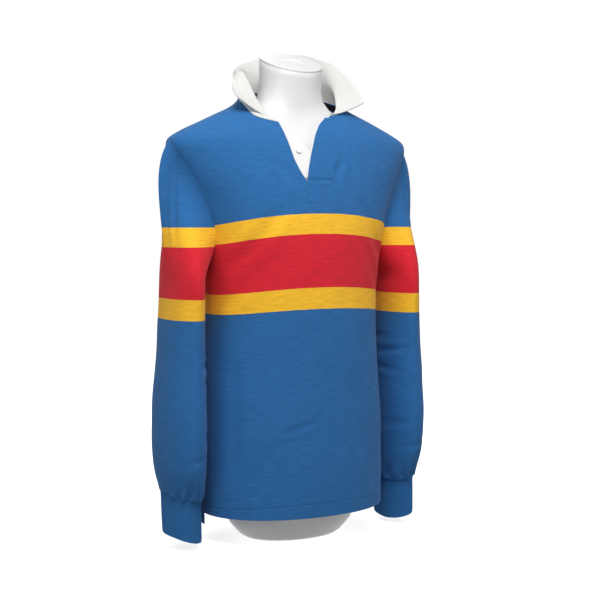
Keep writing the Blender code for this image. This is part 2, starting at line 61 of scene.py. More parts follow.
BODY = np.array([
    # height  half    front   back
    (0.010, 0.1700, 0.1260, 0.1180),
    (0.130, 0.1710, 0.1280, 0.1190),
    (0.210, 0.1690, 0.1260, 0.1150),
    (0.300, 0.1630, 0.1240, 0.1070),
    (0.400, 0.1580, 0.1230, 0.1010),
    (0.490, 0.1650, 0.1220, 0.1060),
    (0.550, 0.1780, 0.1190, 0.1130),
    (0.600, 0.1960, 0.1110, 0.1170),
    (0.640, 0.2140, 0.1010, 0.1160),
    (0.670, 0.2270, 0.0910, 0.1110),
    (0.690, 0.2320, 0.0840, 0.1040),
    (0.700, 0.2290, 0.0800, 0.1000),
    (0.715, 0.2060, 0.0730, 0.0930),
    (0.730, 0.1740, 0.0640, 0.0870),
    (0.745, 0.1400, 0.0550, 0.0840),
    (0.757, 0.1140, 0.0460, 0.0830),
    (0.767, 0.0985, 0.0400, 0.0835),
    (0.780, 0.0890, 0.0370, 0.0840),
    (0.800, 0.0850, 0.0370, 0.0850),
])
ARMHOLE = np.array([
    # height  angle
    (0.490, 90.0),
    (0.503, 80.0),
    (0.525, 72.5),
    (0.560, 69.0),
    (0.600, 68.5),
    (0.635, 70.0),
    (0.665, 74.0),
    (0.688, 81.0),
    (0.700, 90.0),
])
FRONT_NECK_RIGHT = np.array([
    # angle  height
    (22.0, 0.7285),
    (34.0, 0.7380),
    (50.0, 0.7505),
    (70.0, 0.7610),
    (90.0, 0.7670),
])
FRONT_NECK_LEFT = np.array([
    # angle  height
    (22.0, 0.7430),
    (34.0, 0.7490),
    (50.0, 0.7570),
    (70.0, 0.7635),
    (90.0, 0.7670),
])
BACK_NECK = np.array([
    # angle  height
    (0.0, 0.7910),
    (25.0, 0.7900),
    (47.0, 0.7860),
    (68.0, 0.7780),
    (90.0, 0.7670),
])
SLIT = np.array([
    # height  right   left
    (0.612, 0.0000, 0.0000),
    (0.627, 0.0220, 0.0200),
    (0.645, 0.0330, 0.0260),
    (0.664, 0.0400, 0.0310),
    (0.690, 0.0460, 0.0370),
    (0.720, 0.0530, 0.0430),
    (0.743, 0.0590, 0.0500),
])
SLEEVE = np.array([
    # height  middle_x forward half_x  half_y
    (0.450, 0.2140, 0.0100, 0.0290, 0.0720),
    (0.390, 0.2150, 0.0090, 0.0310, 0.0710),
    (0.330, 0.2160, 0.0080, 0.0340, 0.0710),
    (0.275, 0.2180, 0.0070, 0.0370, 0.0750),
    (0.220, 0.2190, 0.0060, 0.0390, 0.0780),
    (0.165, 0.2190, 0.0050, 0.0395, 0.0760),
    (0.130, 0.2180, 0.0050, 0.0385, 0.0700),
    (0.105, 0.2170, 0.0050, 0.0360, 0.0600),
    (0.090, 0.2165, 0.0050, 0.0335, 0.0530),
])
CUFF = np.array([
    # height  middle_x forward half_x  half_y
    (0.0896, 0.2165, 0.0050, 0.0330, 0.0520),
    (0.080, 0.2165, 0.0050, 0.0325, 0.0500),
    (0.055, 0.2165, 0.0060, 0.0325, 0.0490),
    (0.0185, 0.2165, 0.0080, 0.0320, 0.0480),
])
CUFF_TILT_OUT = 0.0080
CUFF_TILT_FRONT = 0.0030
COLLAR = np.array([
    # share  roll_x   roll_fwd roll_up edge_x   edge_fwd edge_up sag
    (0.000, -0.0590, 0.0510, 0.7405, -0.1250, 0.0450, 0.7690, 0.0120),
    (0.050, -0.0650, 0.0410, 0.7560, -0.1270, 0.0360, 0.7770, 0.0080),
    (0.100, -0.0735, 0.0200, 0.7890, -0.1230, 0.0200, 0.7870, 0.0020),
    (0.160, -0.0775, 0.0030, 0.8110, -0.1130, 0.0030, 0.8010, -0.0030),
    (0.210, -0.0810, -0.0120, 0.8260, -0.1030, -0.0170, 0.8100, -0.0040),
    (0.260, -0.0820, -0.0330, 0.8290, -0.0925, -0.0370, 0.8160, -0.0040),
    (0.340, -0.0660, -0.0640, 0.8330, -0.0690, -0.0785, 0.8290, -0.0020),
    (0.420, -0.0410, -0.0880, 0.8300, -0.0450, -0.0990, 0.8440, 0.0000),
    (0.500, 0.0000, -0.0960, 0.8280, 0.0000, -0.1050, 0.8580, 0.0000),
    (0.580, 0.0400, -0.0890, 0.8280, 0.0450, -0.0980, 0.8640, 0.0000),
    (0.660, 0.0660, -0.0680, 0.8280, 0.0720, -0.0760, 0.8630, 0.0000),
    (0.740, 0.0790, -0.0330, 0.8230, 0.0920, -0.0390, 0.8500, 0.0000),
    (0.800, 0.0780, -0.0120, 0.8120, 0.1020, -0.0180, 0.8400, 0.0000),
    (0.850, 0.0770, 0.0030, 0.7970, 0.1130, 0.0050, 0.8180, 0.0000),
    (0.905, 0.0720, 0.0200, 0.7760, 0.1230, 0.0230, 0.7930, 0.0020),
    (0.955, 0.0650, 0.0380, 0.7580, 0.1270, 0.0370, 0.7780, 0.0050),
    (1.000, 0.0580, 0.0500, 0.7490, 0.1250, 0.0450, 0.7690, 0.0080),
])
OVERLAP = np.array([
    # height  sewn     free
    (0.591, 0.0250, -0.0250),
    (0.625, 0.0250, -0.0225),
    (0.644, 0.0300, -0.0175),
    (0.664, 0.0350, -0.0105),
    (0.685, 0.0400, -0.0020),
    (0.716, 0.0465, 0.0140),
    (0.728, 0.0490, 0.0240),
    (0.739, 0.0530, 0.0380),
])
UNDER_GAP = 0.0012
UNDERLAP = np.array([
    # height  sewn     free
    (0.598, -0.0260, 0.0160),
    (0.640, -0.0350, 0.0120),
    (0.665, -0.0450, 0.0030),
    (0.681, -0.0500, -0.0080),
    (0.693, -0.0515, -0.0170),
    (0.704, -0.0540, -0.0290),
    (0.714, -0.0560, -0.0370),
])
FACING_FOOT = 0.634
FACING_TOP = 0.738
FACING_SHOWS = 0.0028
FACING_HIDDEN = 0.0100
TAPE_CLOTH = 0.0010
TAPE_GAP = 0.0020

# ---- finer grids ---------------------------------------------------------------------------------
NECK_FINE = 26  # columns of a panel that meet the neckline
SIDE_FINE = 34  # and the rest, out to the side
LOWER_FINE = 84
UPPER_FINE = 80
COLUMNS = np.concatenate([
    np.linspace(0, NECK_COLUMNS, NECK_FINE + 1), np.linspace(NECK_COLUMNS, 1, SIDE_FINE + 1)[1:]
])
UPPER = np.linspace(0, 1, UPPER_FINE + 1)


# ---- the same surfaces as the CAD model ----------------------------------------------------------
def smooth(table, at, column):
    places = table[:, 0]
    values = table[:, column]
    slopes = np.gradient(values, places)
    at = np.clip(np.asarray(at, float), places.min(), places.max())
    row = np.clip(np.searchsorted(places, at, side="right") - 1, 0, len(places) - 2)
    span = places[row + 1] - places[row]
    s = (at - places[row]) / span
    start = values[row] * (1 + 2 * s) * (1 - s) ** 2 + values[row + 1] * s * s * (3 - 2 * s)
    return start + span * (slopes[row] * s * (1 - s) ** 2 - slopes[row + 1] * s * s * (1 - s))


def down_table(table):
    """The same table with its heights rising, so that it can be read by height."""
    return table[::-1] if table[0, 0] > table[-1, 0] else table


def section(table, angle, height, boxiness):
    angle = np.radians(np.asarray(angle, float))
    half = smooth(table, height, 1)
    ahead = np.cos(angle)
    reach = np.where(ahead >= 0, smooth(table, height, 2), smooth(table, height, 3))
    power = 2 / boxiness
    x = half * np.sign(np.sin(angle)) * np.abs(np.sin(angle)) ** power
    y = -reach * np.sign(ahead) * np.abs(ahead) ** power
    return np.stack([x, y, np.broadcast_to(height, x.shape)], axis=-1)


def unit(vectors):
    return vectors / np.maximum(np.linalg.norm(vectors, axis=-1, keepdims=True), 1e-12)


def body_skin(angle, height):
    angle = np.asarray(angle, float)
    height = np.asarray(height, float)
    turn, rise = 1.0, 0.0015
    along = section(BODY, angle + turn, height, BOXINESS) - section(BODY, angle - turn, height, BOXINESS)
    up = section(BODY, angle, height + rise, BOXINESS) - section(BODY, angle, height - rise, BOXINESS)
    return section(BODY, angle, height, BOXINESS), unit(np.cross(along, up))


def angle_of(x, height):
    share = np.clip(np.abs(x) / smooth(BODY, height, 1), 0, 1)
    return np.sign(x) * np.degrees(np.arcsin(share ** (BOXINESS / 2)))


def grid_normals(points, round_closed):
    if round_closed:
        around = np.roll(points, -1, axis=1) - np.roll(points, 1, axis=1)
    else:
        around = np.gradient(points, axis=1)
    return unit(np.cross(around, np.gradient(points, axis=0)))


def bumpy(x, y, seed, scale):
    """A soft uneven field of about -1 to 1, the same each run: a few waves of unrelated directions."""
    total = 0.0
    for k in range(7):
        turn = 2.399 * k + 0.7 * seed
        long = scale * (0.62 + 0.16 * k)
        along = x * math.cos(turn) + y * math.sin(turn)
        total = total + np.sin(along / long * 2 * math.pi + 1.7 * k * seed + k)
    return total / 4.0


def fold(x, z, start, end, depth, width, lean=0.0):
    """A trough (depth below 0) or a ridge along a line from start to end, fading at both ends."""
    (x0, z0), (x1, z1) = start, end
    length = math.hypot(x1 - x0, z1 - z0)
    ax, az = (x1 - x0) / length, (z1 - z0) / length
    along = ((x - x0) * ax + (z - z0) * az) / length
    across = (x - x0) * az - (z - z0) * ax
    across = across - lean * length * along * (1 - along) * 4
    ends = np.clip(np.minimum(along, 1 - along) * 4, 0, 1)
    ends = ends * ends * (3 - 2 * ends)
    flank = np.exp(-((across / width) ** 2)) - 0.45 * np.exp(-(((np.abs(across) - 1.9 * width) / width) ** 2))
    return depth * ends * flank


# ---- meshes --------------------------------------------------------------------------------------
def patch_faces(rows, columns, first, round_closed):
    spans = columns if round_closed else columns - 1
    r, c = np.meshgrid(np.arange(rows - 1), np.arange(spans), indexing="ij")
    d = (c + 1) % columns
    low, high = first + r * columns, first + (r + 1) * columns
    return np.stack([low + c, low + d, high + d, high + c], axis=-1).reshape(-1, 4)


def shell(name, patches, thick, finish, round_closed=False, hem=None):
    """A closed wall of cloth.

    Each patch is a grid of outer points, their normals and their places in the cloth (across, up).
    """
    points, normals, cloth, faces = [], [], [], []
    count = 0
    for grid, out, places in patches:
        rows, columns = grid.shape[:2]
        quads = patch_faces(rows, columns, count, round_closed)
        flat, facing = grid.reshape(-1, 3), out.reshape(-1, 3)
        q = quads[len(quads) // 2] - count
        if np.dot(np.cross(flat[q[1]] - flat[q[0]], flat[q[3]] - flat[q[0]]), facing[q[0]]) < 0:
            quads = quads[:, ::-1]
        points.append(flat)
        normals.append(facing)
        cloth.append(places.reshape(-1, 2))
        faces.append(quads)
        count += len(flat)
    points, normals, cloth, faces = (np.concatenate(v) for v in (points, normals, cloth, faces))
    _, first, index = np.unique(np.round(points, 6), axis=0, return_index=True, return_inverse=True)
    index = index.reshape(-1)
    outer, facing, places = points[first], normals[first], cloth[first]
    skin = []
    for quad in index[faces].tolist():
        corners = list(dict.fromkeys(quad))
        if len(corners) > 2:
            skin.append(tuple(corners))
    edges = set()
    for face in skin:
        for a, b in zip(face, face[1:] + face[:1]):
            edges.add((a, b))
    n = len(outer)
    rim = [(b, a, a + n, b + n) for a, b in edges if (b, a) not in edges]
    inside = [tuple(i + n for i in (face[0],) + face[:0:-1]) for face in skin]
    thickness = thick if np.isscalar(thick) else thick[:, None]
    mesh = bpy.data.meshes.new(name)
    mesh.from_pydata(np.concatenate([outer, outer - thickness * facing]).tolist(), [], skin + inside + rim)
    held = mesh.attributes.new("cloth", "FLOAT_VECTOR", "POINT")
    both = np.concatenate([places, places])
    held.data.foreach_set("vector", np.column_stack([both, np.zeros(len(both))]).astype(np.float32).ravel())
    mesh.validate()
    mesh.materials.append(finish)
    mesh.shade_smooth()
    mesh.set_sharp_from_angle(angle=math.radians(55))
    made = bpy.data.objects.new(name, mesh)
    bpy.context.scene.collection.objects.link(made)
    return made


# ---- the shirt's body ----------------------------------------------------------------------------
def armhole(share):
    table = np.column_stack([np.linspace(0, 1, len(ARMHOLE)), ARMHOLE])
    return smooth(table, share, 2), smooth(table, share, 1)


def top_edge(neck, columns):
    t = np.asarray(columns)
    table = np.column_stack([np.linspace(0, 1, len(neck)), neck])
    along_neck = np.clip(t / NECK_COLUMNS, 0, 1)
    down = np.clip((t - NECK_COLUMNS) / (1 - NECK_COLUMNS), 0, 1)
    angle = np.where(t < NECK_COLUMNS, smooth(table, along_neck, 1), 90.0)
    shoulder = neck[-1, 1] + (SHOULDER_POINT - neck[-1, 1]) * down
    return angle, np.where(t < NECK_COLUMNS, smooth(table, along_neck, 2), shoulder)


def fill_between(bottom, top, left, right, columns, rows):
    t, w = columns[None, :], rows[:, None]
    across = (1 - w) * bottom[None, :] + w * top[None, :]
    upward = (1 - t) * left[:, None] + t * right[:, None]
    corners = (
        (1 - t) * (1 - w) * bottom[0] + t * (1 - w) * bottom[-1]
        + (1 - t) * w * top[0] + t * w * top[-1]
    )
    return across + upward - corners


def slit_edge(rows, column, top):
    above = np.clip((rows - SLIT_ROW) / (1 - SLIT_ROW), 0, 1)
    height = np.where(
        rows < SLIT_ROW,
        UNDERARM + (SLIT_FOOT - UNDERARM) * rows / SLIT_ROW,
        SLIT_FOOT + (top - SLIT_FOOT) * above,
    )
    return angle_of(np.interp(height, SLIT[:, 0], SLIT[:, column]), height), height


def body_course(points, ahead):
    """Height in the cloth: the knitted rows bow up at the middle of the front, a little at the back."""
    z = points[..., 2]
    bow = np.clip(0.0140 + 0.068 * (z - 0.447), 0.0090, 0.0230)
    return z - np.where(ahead > 0, bow * ahead**2, 0.45 * bow * ahead**2)


def front_folds(x, z):
    """How far the front's cloth stands out or in."""
    d = fold(x, z, (0.030, 0.612), (0.064, 0.706), -0.0030, 0.0050, 0.03)
    d = d + fold(x, z, (0.006, 0.616), (0.060, 0.668), -0.0016, 0.0060)
    d = d + fold(x, z, (-0.048, 0.736), (-0.012, 0.640), -0.0010, 0.0060)
    d = d + fold(x, z, (-0.030, 0.617), (-0.085, 0.668), -0.0012, 0.0085)
    d = d + fold(x, z, (-0.085, 0.200), (-0.010, 0.222), -0.0013, 0.0050, 0.05)
    d = d + fold(x, z, (-0.095, 0.176), (-0.045, 0.190), -0.0008, 0.0050)
    d = d + fold(x, z, (-0.150, 0.470), (-0.062, 0.596), -0.0022, 0.0110)
    d = d + fold(x, z, (0.150, 0.480), (0.075, 0.610), -0.0024, 0.0110)
    d = d + fold(x, z, (0.152, 0.420), (0.090, 0.520), -0.0013, 0.0090)
    d = d + fold(x, z, (-0.152, 0.400), (-0.105, 0.500), -0.0014, 0.0090)
    d = d + fold(x, z, (-0.148, 0.120), (-0.140, 0.330), -0.0016, 0.0080)
    d = d + fold(x, z, (0.146, 0.090), (0.138, 0.290), -0.0016, 0.0080)
    d = d + fold(x, z, (0.110, 0.060), (0.118, 0.170), -0.0010, 0.0100)
    d = d + fold(x, z, (-0.105, 0.060), (-0.112, 0.150), -0.0008, 0.0100)
    return d + 0.0006 * bumpy(x, z, 3, 0.11)


def back_folds(x, z):
    d = fold(x, z, (-0.040, 0.420), (-0.060, 0.640), -0.0018, 0.0140)
    d = d + fold(x, z, (0.050, 0.400), (0.066, 0.630), -0.0020, 0.0150)
    d = d + fold(x, z, (0.000, 0.300), (0.006, 0.520), -0.0014, 0.0160)
    d = d + fold(x, z, (-0.150, 0.480), (-0.080, 0.600), -0.0024, 0.0110)
    d = d + fold(x, z, (0.150, 0.470), (0.086, 0.604), -0.0022, 0.0110)
    d = d + fold(x, z, (-0.120, 0.330), (-0.020, 0.350), -0.0016, 0.0100, 0.10)
    d = d + fold(x, z, (0.018, 0.366), (0.120, 0.344), -0.0014, 0.0100, -0.10)
    d = d + fold(x, z, (-0.110, 0.040), (-0.100, 0.220), -0.0014, 0.0120)
    d = d + fold(x, z, (0.104, 0.030), (0.098, 0.240), -0.0014, 0.0120)
    d = d + fold(x, z, (0.020, 0.040), (0.010, 0.200), -0.0010, 0.0140)
    return d + 0.0007 * bumpy(x, z, 5, 0.12)


def panel_half(hem, neck, middle_angle, middle_height, side, from_back):
    heights = np.linspace(hem, UNDERARM, LOWER_FINE + 1)
    low_angle, low_height = np.meshgrid(90 * COLUMNS, heights)
    top_angle, top_height = top_edge(neck, COLUMNS)
    arm_angle, arm_height = armhole(UPPER)
    high_angle = fill_between(90 * COLUMNS, top_angle, middle_angle, arm_angle, COLUMNS, UPPER)
    level = np.full(len(COLUMNS), UNDERARM)
    high_height = fill_between(level, top_height, middle_height, arm_height, COLUMNS, UPPER)
    patches = []
    for part, (angle, height) in enumerate(((low_angle, low_height), (high_angle, high_height))):
        turned = 180 - angle if from_back else angle
        points, normals = body_skin(side * turned, height)
        points[..., 1] += SEAM / 2 if from_back else -SEAM / 2
        points[..., 0] = np.where(np.abs(points[..., 0]) < 1e-7, 0.0, points[..., 0])
        ahead = np.cos(np.radians(turned))
        course = body_course(points, ahead)
        wale = points[..., 0] * 1.15
        x, z = points[..., 0], points[..., 2]
        lift = back_folds(x, z) if from_back else front_folds(x, z)
        # The folds fade out at the seams and the neck.
        near_side = np.clip((90 - np.abs(angle)) / 14, 0, 1)
        near_arm = np.clip((1 - COLUMNS) / 0.10, 0, 1)[None, :] if part else np.ones((1, len(COLUMNS)))
        near_top = np.clip((1 - UPPER) / 0.06, 0, 1)[:, None] if part else np.ones((len(heights), 1))
        fade = near_side * near_arm * near_top
        fade = fade * fade * (3 - 2 * fade)
        points = points + normals * (lift * fade)[..., None]
        patches.append((points, normals, np.stack([wale, course], axis=-1)))
    return patches


def front_half(side):
    neck = (FRONT_NECK_RIGHT if side < 0 else FRONT_NECK_LEFT).copy()
    angle, height = slit_edge(UPPER, 1 if side < 0 else 2, neck[0, 1])
    neck[0, 0] = angle[-1]
    return panel_half(FRONT_HEM, neck, angle, height, side, False)


def back_half(side):
    height = UNDERARM + (BACK_NECK[0, 1] - UNDERARM) * UPPER
    return panel_half(BACK_HEM, BACK_NECK, np.zeros_like(UPPER), height, side, True)


def neck_patches(side):
    ahead, behind = (
        [values[-4:, :NECK_FINE + 1].copy() for values in half(side)[1]] for half in (front_half, back_half)
    )
    for one, other in zip(ahead, behind):
        one[:, -1] = other[:, -1] = (one[:, -1] + other[:, -1]) / 2
    return ahead, behind


def neckline():
    (right, *_), (right_back, *_) = neck_patches(-1)
    (left, *_), (left_back, *_) = neck_patches(1)
    return np.concatenate([right[-1], right_back[-1, -2::-1], left_back[-1, 1:], left[-1, -2::-1]])


# ---- sleeves and cuffs ---------------------------------------------------------------------------
SLEEVE_SIDES = 144  # points round a sleeve, an even number
CAP_FINE = 34
TUBE_FINE = 110


def ring_share():
    """Share of the armhole, 0 at the underarm to 1 at the shoulder point, and if it is at the back."""
    turn = np.arange(SLEEVE_SIDES) * 360.0 / SLEEVE_SIDES
    return np.abs(180 - turn) / 180, turn


def tube_point(table, height, turn, side, tilt):
    rising = down_table(table)
    middle, forward, half_x, half_y = (smooth(rising, height, c) for c in (1, 2, 3, 4))
    out, ahead = np.cos(turn), np.sin(turn)
    z = height + tilt * (CUFF_TILT_OUT * out - CUFF_TILT_FRONT * ahead)
    return np.stack([side * (middle + half_x * out), -(forward + half_y * ahead), z], axis=-1)


def sleeve_rings(side):
    share, turn = ring_share()
    angle, height = armhole(share)
    at_back = turn > 180
    seam, seam_normals = body_skin(side * np.where(at_back, 180 - angle, angle), height)
    seam[:, 1] += np.where(at_back, SEAM / 2, np.where((turn > 0) & (turn < 180), -SEAM / 2, 0))
    radians = np.radians(turn)
    top = tube_point(SLEEVE, np.full(SLEEVE_SIDES, SLEEVE[0, 0]), radians, side, 0.0)
    reach = np.linalg.norm(top - seam, axis=1, keepdims=True)
    leave = unit(np.array([side * 0.62, 0.0, -0.78]))
    leave = unit(leave - seam_normals * (seam_normals @ leave)[:, None])
    start = seam + SEAM * leave
    first_hold = start + leave * 0.28 * reach
    last_hold = top + np.array([0, 0, 0.42]) * reach
    rings = []
    for step in range(CAP_FINE):
        s = step / CAP_FINE
        rings.append(
            (1 - s) ** 3 * start + 3 * s * (1 - s) ** 2 * first_hold
            + 3 * s * s * (1 - s) * last_hold + s**3 * top
        )
    for height in np.linspace(SLEEVE[0, 0], SLEEVE[-1, 0], TUBE_FINE + 1):
        tilt = np.clip((0.20 - height) / 0.11, 0, 1)
        rings.append(tube_point(SLEEVE, np.full(SLEEVE_SIDES, height), radians, side, tilt))
    rings = np.array(rings)
    normals = grid_normals(rings, True)
    middle = rings.mean(axis=1, keepdims=True)
    normals = normals * np.sign((normals * (rings - middle)).sum(axis=-1).mean())
    normals[0] = seam_normals
    # Folds, in the sleeve's own turn (degrees, 90 at the front) and height.
    degrees = np.broadcast_to(turn, rings.shape[:2])
    z = rings[..., 2]
    lift = np.zeros(rings.shape[:2])
    for at, low, high, depth, width in SLEEVE_FOLDS[side]:
        near = np.exp(-((((degrees - at + 180) % 360 - 180) / width) ** 2))
        near = near - 0.5 * np.exp(-(((np.abs((degrees - at + 180) % 360 - 180) - 1.9 * width) / width) ** 2))
        along = np.clip((z - low) / (high - low), 0, 1)
        gather = (1 - along) ** 2 * np.clip((z - low) / 0.006 + 0.3, 0, 1)
        lift = lift + depth * near * (np.sin(math.pi * along) if low > 0.1 else gather)
    for at, height, depth, spread, tall, slope in SLEEVE_CREASES[side]:
        away = (degrees - at + 180) % 360 - 180
        near = np.exp(-((away / spread) ** 2))
        rise = (z - height - slope * away) / tall
        lift = lift + depth * near * (np.exp(-(rise**2)) - 0.5 * np.exp(-((np.abs(rise) - 1.9) ** 2)))
    middle = np.sin(math.pi * np.linspace(0, 1, len(rings)))[:, None]
    lift = lift + 0.0006 * bumpy(degrees / 360 * 0.36, z, 7 + side, 0.09) * middle
    fade = np.clip(np.arange(len(rings)) / 8, 0, 1)[:, None]
    points = rings + normals * (lift * fade)[..., None]
    course = z.copy()
    wale = degrees / 360 * 0.36
    return points, normals, np.stack([wale, course], axis=-1)


# Turn in degrees (0 outer side, 90 front, 180 underarm, 270 back), lowest and highest point,
# depth, width in degrees.
SLEEVE_FOLDS = {
    -1: [
        (52, 0.088, 0.125, -0.0040, 7), (78, 0.088, 0.140, -0.0046, 8), (104, 0.088, 0.118, -0.0030, 7),
        (132, 0.088, 0.128, -0.0036, 8), (20, 0.088, 0.120, -0.0030, 8), (165, 0.088, 0.120, -0.0030, 9),
        (215, 0.088, 0.130, -0.0034, 9), (250, 0.088, 0.120, -0.0034, 9), (290, 0.088, 0.132, -0.0036, 9),
        (330, 0.088, 0.122, -0.0032, 9),
        (62, 0.240, 0.470, -0.0014, 14), (285, 0.200, 0.460, -0.0016, 16),
    ],
    1: [
        (48, 0.088, 0.122, -0.0036, 8), (84, 0.088, 0.138, -0.0046, 8), (112, 0.088, 0.124, -0.0040, 7),
        (150, 0.088, 0.122, -0.0032, 8), (14, 0.088, 0.126, -0.0032, 8), (190, 0.088, 0.120, -0.0030, 9),
        (225, 0.088, 0.130, -0.0034, 9), (262, 0.088, 0.120, -0.0034, 9), (300, 0.088, 0.132, -0.0036, 9),
        (338, 0.088, 0.122, -0.0032, 9),
        (70, 0.260, 0.480, -0.0014, 14), (275, 0.200, 0.460, -0.0016, 16),
    ],
}
# Turn, height, depth, spread in degrees, half height, slope in metres a degree.
SLEEVE_CREASES = {
    -1: [
        (150, 0.318, -0.0018, 34, 0.0060, 0.00012), (160, 0.286, -0.0014, 30, 0.0060, -0.00010),
        (200, 0.340, -0.0020, 36, 0.0065, 0.00010), (150, 0.196, -0.0010, 30, 0.0070, 0.00010),
        (95, 0.158, -0.0010, 26, 0.0060, 0.00010),
    ],
    1: [
        (150, 0.324, -0.0018, 34, 0.0060, -0.00012), (165, 0.290, -0.0014, 30, 0.0060, 0.00010),
        (205, 0.345, -0.0020, 36, 0.0065, -0.00010), (140, 0.190, -0.0010, 30, 0.0070, -0.00010),
        (95, 0.150, -0.0010, 26, 0.0060, -0.00010),
    ],
}


def cuff_rings(side):
    _, turn = ring_share()
    turn = np.arange(288) * 360.0 / 288
    heights = np.linspace(CUFF[0, 0], CUFF[-1, 0], 30)
    rings = np.array([tube_point(CUFF, np.full(288, h), np.radians(turn), side, 1.0) for h in heights])
    normals = grid_normals(rings, True)
    middle = rings.mean(axis=1, keepdims=True)
    normals = normals * np.sign((normals * (rings - middle)).sum(axis=-1).mean())
    ribs = 0.00035 * np.sin(np.radians(turn) * 72)[None, :]
    share = np.linspace(0, 1, len(heights))[:, None]
    ends = np.clip(np.minimum(share, 1 - share) * 14, 0, 1)
    waves = 0.0009 * np.sin(np.radians(turn) * 5 + 1.2)[None, :] * (0.3 + 0.7 * share)
    points = rings + normals * (ribs * ends - 0.0004 + waves - 0.0009)[..., None]
    wale = np.broadcast_to(turn / 360 * 0.26, rings.shape[:2])
    return points, normals, np.stack([wale, rings[..., 2]], axis=-1)


# ---- collar, tape, placket, button ---------------------------------------------------------------
COLLAR_FINE = 34


def collar_grid():
    seam = neckline()
    steps = np.linalg.norm(np.diff(seam, axis=0), axis=1)
    share = np.concatenate([[0.0], np.cumsum(steps)]) / steps.sum()
    out = unit(seam * np.array([1.0, 1.0, 0.0]))
    roll_x, roll_fwd, roll_up, edge_x, edge_fwd, edge_up, sag = (
        smooth(COLLAR, share, c) for c in range(1, 8)
    )
    seam = seam + np.array([0.0, 0.0, COLLAR_SEAM])
    roll = np.column_stack([roll_x, -roll_fwd, roll_up])
    edge = np.column_stack([edge_x, -edge_fwd, edge_up])
    below_roll = seam + 0.90 * (roll - seam)
    past_roll = roll + 0.15 * (edge - roll)
    rows = []
    for s in np.linspace(0, 1, COLLAR_FINE + 1):
        row = (
            (1 - s) ** 3 * seam + 3 * s * (1 - s) ** 2 * below_roll
            + 3 * s * s * (1 - s) * past_roll + s**3 * edge
        )
        row[:, 2] -= sag * 4 * s * s * (1 - s)
        rows.append(row)
    grid = np.array(rows)
    normals = grid_normals(grid, False)
    if (normals[:4] * out[None]).sum() < 0:
        normals = -normals
    length = steps.sum()
    across = np.linspace(0, 0.075, COLLAR_FINE + 1)
    u, v = np.meshgrid(share * length, across)
    inside_ends = np.clip(np.minimum(share, 1 - share) * 12, 0, 1)[None, :]
    waves = 0.0010 * np.sin(u * 52 + v * 30) * (v / 0.075) ** 2 * inside_ends
    waves = waves + 0.0006 * bumpy(u, v, 9, 0.06) * (v / 0.075)
    return grid + normals * waves[..., None], normals, np.stack([u, v], axis=-1)


def strip_grid(heights, sewn, free, lift, columns=12):
    across = np.linspace(0, 1, columns + 1)
    x = sewn[:, None] + (free - sewn)[:, None] * across[None, :]
    z = np.repeat(heights[:, None], len(across), axis=1)
    points, normals = body_skin(angle_of(x, z), z)
    points[..., 1] -= SEAM / 2
    course = body_course(points, np.cos(np.radians(angle_of(x, z))))
    return points + normals * lift, normals, np.stack([x * 1.15, course], axis=-1)


# ---- materials -----------------------------------------------------------------------------------
class Nodes:
    """A short way to write a material's nodes."""

    def __init__(self, name):
        self.made = bpy.data.materials.new(name)
        self.made.use_nodes = True
        self.tree = self.made.node_tree
        self.shader = self.tree.nodes["Principled BSDF"]

    def add(self, kind, **settings):
        node = self.tree.nodes.new("ShaderNode" + kind)
        for key, value in settings.items():
            setattr(node, key, value)
        return node

    def link(self, a, b):
        self.tree.links.new(a, b)

    def math(self, operation, a, b=None, c=None):
        node = self.add("Math", operation=operation)
        for socket, value in zip(node.inputs, (a, b, c)):
            if value is None:
                continue
            if isinstance(value, (int, float)):
                socket.default_value = value
            else:
                self.link(value, socket)
        return node.outputs[0]

    def mix(self, factor, a, b, blend="MIX"):
        node = self.add("Mix", data_type="RGBA", blend_type=blend)
        for socket, value in ((node.inputs[0], factor), (node.inputs[6], a), (node.inputs[7], b)):
            if isinstance(value, (int, float)):
                socket.default_value = value
            elif isinstance(value, tuple):
                socket.default_value = (*value, 1.0)
            else:
                self.link(value, socket)
        return node.outputs[2]

    def noise(self, vector, scale, detail=3.0, rough=0.55, stretch=None):
        if stretch:
            shape = self.add("Mapping")
            shape.inputs["Scale"].default_value = stretch
            self.link(vector, shape.inputs["Vector"])
            vector = shape.outputs[0]
        node = self.add("TexNoise")
        node.inputs["Scale"].default_value = scale
        node.inputs["Detail"].default_value = detail
        node.inputs["Roughness"].default_value = rough
        self.link(vector, node.inputs["Vector"])
        return node.outputs[0]

    def bump(self, height, strength, distance):
        node = self.add("Bump")
        node.inputs["Strength"].default_value = strength
        node.inputs["Distance"].default_value = distance
        self.link(height, node.inputs["Height"])
        self.link(node.outputs[0], self.shader.inputs["Normal"])


def cloth_places(n):
    held = n.add("Attribute", attribute_name="cloth")
    apart = n.add("SeparateXYZ")
    n.link(held.outputs["Vector"], apart.inputs[0])
    return held.outputs["Vector"], apart.outputs[0], apart.outputs[1]


BLUE = (0.0250, 0.1400, 0.3700)
YELLOW = (0.9600, 0.5300, 0.0330)
RED = (0.6900, 0.0200, 0.0360)
WHITE = (0.8300, 0.8300, 0.8200)
# The bands' edges, as heights in the cloth.
BODY_BANDS = (0.3990, 0.4330, 0.5180, 0.5500)
SLEEVE_BANDS = (0.3940, 0.4290, 0.5160, 0.5490)


